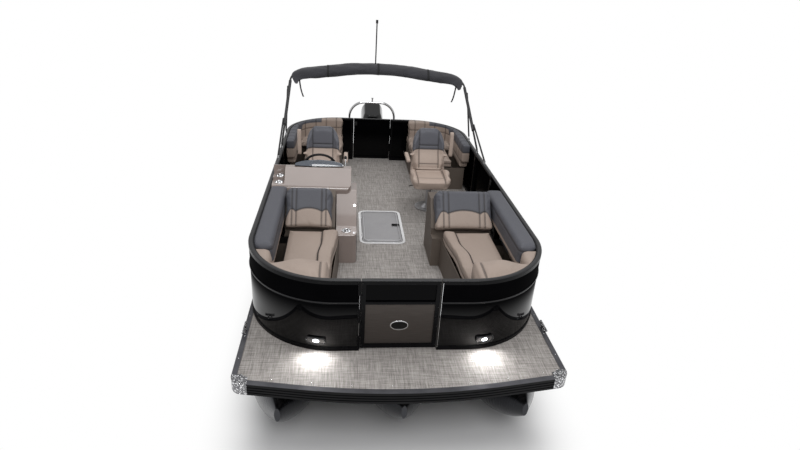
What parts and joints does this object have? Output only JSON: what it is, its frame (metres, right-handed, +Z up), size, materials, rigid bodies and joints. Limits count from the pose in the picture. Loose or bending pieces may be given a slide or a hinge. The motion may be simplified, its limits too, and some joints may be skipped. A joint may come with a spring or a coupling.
{
  "type": "pontoon boat",
  "caption": "Open pontoon boat with a fenced deck, gates, lounges, helm, swivel chairs, tow arch, tilting outboard motor, boarding ladder and a folded canopy.",
  "frame": {"origin": "Bottom centre of the whole boat's bounding box, on the plane the keels stand on.", "axes": "+X to port, +Y aft, +Z up. The bow points to -Y."},
  "size_m": [2.59, 7.031, 2.9038],
  "materials": {
    "canvas": "woven black canvas",
    "canopy_tube": "black coated tube",
    "polished_steel": "polished stainless tube",
    "rail_metal": "black powder coat",
    "gate_paint": "brushed dark bronze sheet",
    "tan_vinyl": "padded marine vinyl",
    "lounge_base": "rotationally moulded plastic",
    "grey_vinyl": "padded marine vinyl",
    "beam_aluminium": "mill-finish aluminium",
    "deck_covering": "woven vinyl floor covering",
    "cast_fittings": "cast aluminium",
    "rub_rail": "dark coated extrusion",
    "lamp_lens": "clear moulded lens in a bright bezel",
    "fence_paint": "gloss black painted sheet",
    "hatch_lid": "moulded plastic lid",
    "locker_plastic": "moulded plastic tub with a metal flange",
    "chair_metal": "brushed metal",
    "console_shell": "gloss gelcoat moulding",
    "mast_white": "white plastic lamp on a light pole",
    "pod_aluminium": "welded aluminium",
    "motor_black": "gloss black paint",
    "motor_block": "plain block",
    "tube_aluminium": "satin welded aluminium",
    "wheel_black": "moulded grip on a metal frame",
    "windscreen_tint": "dark tinted acrylic"
  },
  "bodies": {
    "boat": {"bimini_mounts": "polished_steel", "bow_lounge_port_back": "tan_vinyl", "bow_lounge_port_base": "lounge_base", "bow_lounge_port_pad": "grey_vinyl", "bow_lounge_starboard_back": "tan_vinyl", "bow_lounge_starboard_base": "lounge_base", "bow_lounge_starboard_pad": "grey_vinyl", "cross_members": "beam_aluminium", "deck_board": "deck_covering", "deck_fittings": "cast_fittings", "deck_trim": "rub_rail", "docking_lights": "lamp_lens", "fence_frame_port_aft": "rail_metal", "fence_frame_port_fore": "rail_metal", "fence_frame_starboard": "rail_metal", "fence_panels": "fence_paint", "floor_locker": "locker_plastic", "helm_chair_pedestal": "chair_metal", "helm_console": "console_shell", "mate_chair_pedestal": "chair_metal", "motor_pod": "pod_aluminium", "outboard_clamp": "motor_black", "pontoon_centre": "tube_aluminium", "pontoon_port": "tube_aluminium", "pontoon_starboard": "tube_aluminium", "stern_lounge_port_base": "lounge_base", "stern_lounge_port_pad": "grey_vinyl", "stern_lounge_starboard_base": "lounge_base", "stern_lounge_starboard_pad": "grey_vinyl", "tow_arch": "polished_steel", "windscreen": "windscreen_tint"},
    "bow_gate": {"bow_gate_frame": "rail_metal", "bow_gate_panels": "gate_paint"},
    "side_gate_leaf": {"side_gate": "gate_paint"},
    "stern_gate_leaf": {"stern_gate": "gate_paint"},
    "floor_lid": {"floor_hatch": "hatch_lid"},
    "bow_port_lid": {"bow_lounge_port_seat": "tan_vinyl"},
    "bow_starboard_lid": {"bow_lounge_starboard_seat": "tan_vinyl"},
    "stern_port_lid": {"stern_lounge_port_seat": "tan_vinyl"},
    "stern_starboard_lid": {"stern_lounge_starboard_seat": "tan_vinyl"},
    "helm_wheel": {"steering_wheel": "wheel_black"},
    "helm_chair": {"helm_chair_seat": "tan_vinyl"},
    "helm_arm_inner": {"helm_chair_arm_inner": "tan_vinyl"},
    "helm_arm_outer": {"helm_chair_arm_outer": "tan_vinyl"},
    "mate_chair": {"mate_chair_seat": "tan_vinyl"},
    "mate_arm_inner": {"mate_chair_arm_inner": "tan_vinyl"},
    "mate_arm_outer": {"mate_chair_arm_outer": "tan_vinyl"},
    "motor_swivel": {"outboard_swivel": "motor_black"},
    "motor": {"outboard_leg": "motor_black", "outboard_cowl": "motor_black", "outboard_powerhead": "motor_block"},
    "prop": {"propeller": "motor_black"},
    "ladder": {"boarding_ladder": "polished_steel"},
    "canopy": {"bimini_bow": "canopy_tube", "bimini_boot": "canvas", "light_mast": "mast_white"},
    "front_struts": {"bimini_front_struts": "canopy_tube"},
    "rear_struts": {"bimini_rear_struts": "canopy_tube"},
    "rear_rods": {"bimini_rear_rods": "canopy_tube"}
  },
  "joints": [
    {"name": "bow_gate_hinge", "type": "hinge", "parent": "boat", "child": "bow_gate", "pos_m": [-0.341, -3.01909, 0.786], "axis": [0, 0, -1], "range_deg": [0, 95]},
    {"name": "side_gate_hinge", "type": "hinge", "parent": "boat", "child": "side_gate_leaf", "pos_m": [1.2377, -1.10579, 0.786], "axis": [0, 0, 1], "range_deg": [0, 90]},
    {"name": "stern_gate_hinge", "type": "hinge", "parent": "boat", "child": "stern_gate_leaf", "pos_m": [0.239, 1.73891, 0.786], "axis": [0, 0, 1], "range_deg": [0, 90]},
    {"name": "floor_lid_hinge", "type": "hinge", "parent": "boat", "child": "floor_lid", "pos_m": [-0.259, -1.13079, 0.7983], "axis": [0, -1, 0], "range_deg": [0, 88]},
    {"name": "bow_port_lid_hinge", "type": "hinge", "parent": "boat", "child": "bow_port_lid", "pos_m": [1.02, -2.14579, 1.106], "axis": [0, 1, 0], "range_deg": [0, 55]},
    {"name": "bow_starboard_lid_hinge", "type": "hinge", "parent": "boat", "child": "bow_starboard_lid", "pos_m": [-1.02, -2.14579, 1.106], "axis": [0, -1, 0], "range_deg": [0, 55]},
    {"name": "stern_port_lid_hinge", "type": "hinge", "parent": "boat", "child": "stern_port_lid", "pos_m": [1.02, 0.91421, 1.106], "axis": [0, 1, 0], "range_deg": [0, 55]},
    {"name": "stern_starboard_lid_hinge", "type": "hinge", "parent": "boat", "child": "stern_starboard_lid", "pos_m": [-1.02, 0.91421, 1.106], "axis": [0, -1, 0], "range_deg": [0, 55]},
    {"name": "wheel_turn", "type": "hinge", "parent": "boat", "child": "helm_wheel", "pos_m": [-0.745, -0.68236, 1.53891], "axis": [0, 0.866, 0.5], "range_deg": [-600, 600]},
    {"name": "helm_chair_swivel", "type": "hinge", "parent": "boat", "child": "helm_chair", "pos_m": [-0.745, -0.16579, 1.106], "axis": [0, 0, 1], "continuous": true},
    {"name": "helm_arm_outer_fold", "type": "hinge", "parent": "helm_chair", "child": "helm_arm_outer", "pos_m": [-1.033, 0.06921, 1.426], "axis": [1, 0, 0], "range_deg": [0, 94]},
    {"name": "helm_arm_inner_fold", "type": "hinge", "parent": "helm_chair", "child": "helm_arm_inner", "pos_m": [-0.457, 0.06921, 1.426], "axis": [-1, 0, 0], "range_deg": [0, 94]},
    {"name": "mate_chair_swivel", "type": "hinge", "parent": "boat", "child": "mate_chair", "pos_m": [0.61, -0.09579, 1.106], "axis": [0, 0, 1], "continuous": true},
    {"name": "mate_arm_outer_fold", "type": "hinge", "parent": "mate_chair", "child": "mate_arm_outer", "pos_m": [0.898, 0.13921, 1.426], "axis": [1, 0, 0], "range_deg": [0, 94]},
    {"name": "mate_arm_inner_fold", "type": "hinge", "parent": "mate_chair", "child": "mate_arm_inner", "pos_m": [0.322, 0.13921, 1.426], "axis": [-1, 0, 0], "range_deg": [0, 94]},
    {"name": "motor_tilt", "type": "hinge", "parent": "boat", "child": "motor_swivel", "pos_m": [0, 2.83421, 0.775], "axis": [1, 0, 0], "range_deg": [-25, 30]},
    {"name": "motor_steer", "type": "hinge", "parent": "motor_swivel", "child": "motor", "pos_m": [0, 2.88859, 0.80036], "axis": [0, -0.4226, 0.9063], "range_deg": [-30, 30]},
    {"name": "propeller_spin", "type": "hinge", "parent": "motor", "child": "prop", "pos_m": [0, 3.40193, 0.26737], "axis": [0, 0.9063, 0.4226], "continuous": true},
    {"name": "ladder_swing", "type": "hinge", "parent": "boat", "child": "ladder", "pos_m": [0.78, 2.61121, 0.808], "axis": [-1, 0, 0], "range_deg": [0, 265]},
    {"name": "canopy_swing", "type": "hinge", "parent": "boat", "child": "canopy", "pos_m": [0, 0.20421, 1.467], "axis": [1, 0, 0], "range_deg": [0, 50]},
    {"name": "front_strut_swing", "type": "hinge", "parent": "boat", "child": "front_struts", "pos_m": [0, -0.21579, 1.467], "axis": [1, 0, 0], "range_deg": [0, 36.1]},
    {"name": "rear_strut_swing", "type": "hinge", "parent": "boat", "child": "rear_struts", "pos_m": [0, 0.74421, 1.467], "axis": [1, 0, 0], "range_deg": [0, 55.3]},
    {"name": "rear_rod_slide", "type": "slide", "parent": "rear_struts", "child": "rear_rods", "axis": [0, 0.6046, 0.7965], "range_m": [0, 0.452]}
  ],
  "couplings": [
    {"joint": "front_strut_swing", "follows": "canopy_swing", "ratio": 0.71142},
    {"joint": "rear_strut_swing", "follows": "canopy_swing", "ratio": 1.0965},
    {"joint": "rear_rod_slide", "follows": "canopy_swing", "m_per_rad": 0.51587},
    {"joint": "wheel_turn", "follows": "motor_steer", "ratio": -20}
  ]
}
